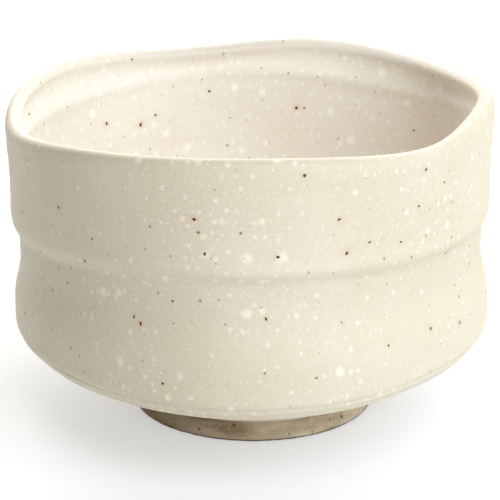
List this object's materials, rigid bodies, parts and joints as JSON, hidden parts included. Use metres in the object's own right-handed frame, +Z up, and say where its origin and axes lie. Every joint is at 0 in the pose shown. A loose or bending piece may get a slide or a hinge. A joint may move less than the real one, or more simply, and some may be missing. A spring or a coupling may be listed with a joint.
{
  "type": "matcha bowl",
  "caption": "Hand-thrown stoneware tea bowl with an uneven rim, a pressed-in waist, a speckled cream glaze and a bare ring foot.",
  "frame": {"origin": "centre of the foot ring's resting face, on the surface that the bowl stands on", "axes": "+Z up out of the bowl's mouth; -Y is the front, where the rim dips; +X to the right seen from the front"},
  "size_m": [0.119, 0.1176, 0.0794],
  "materials": {
    "bare_clay": "matte",
    "foot_clay": "matte",
    "cream_glaze": "satin",
    "cream_glaze_inside": "satin",
    "iron_speck": "matte"
  },
  "bodies": {
    "root": {"clay_body": "bare_clay", "foot_ring": "foot_clay", "outer_glaze": "cream_glaze", "inner_glaze": "cream_glaze_inside", "iron_specks": "iron_speck"}
  },
  "joints": []
}
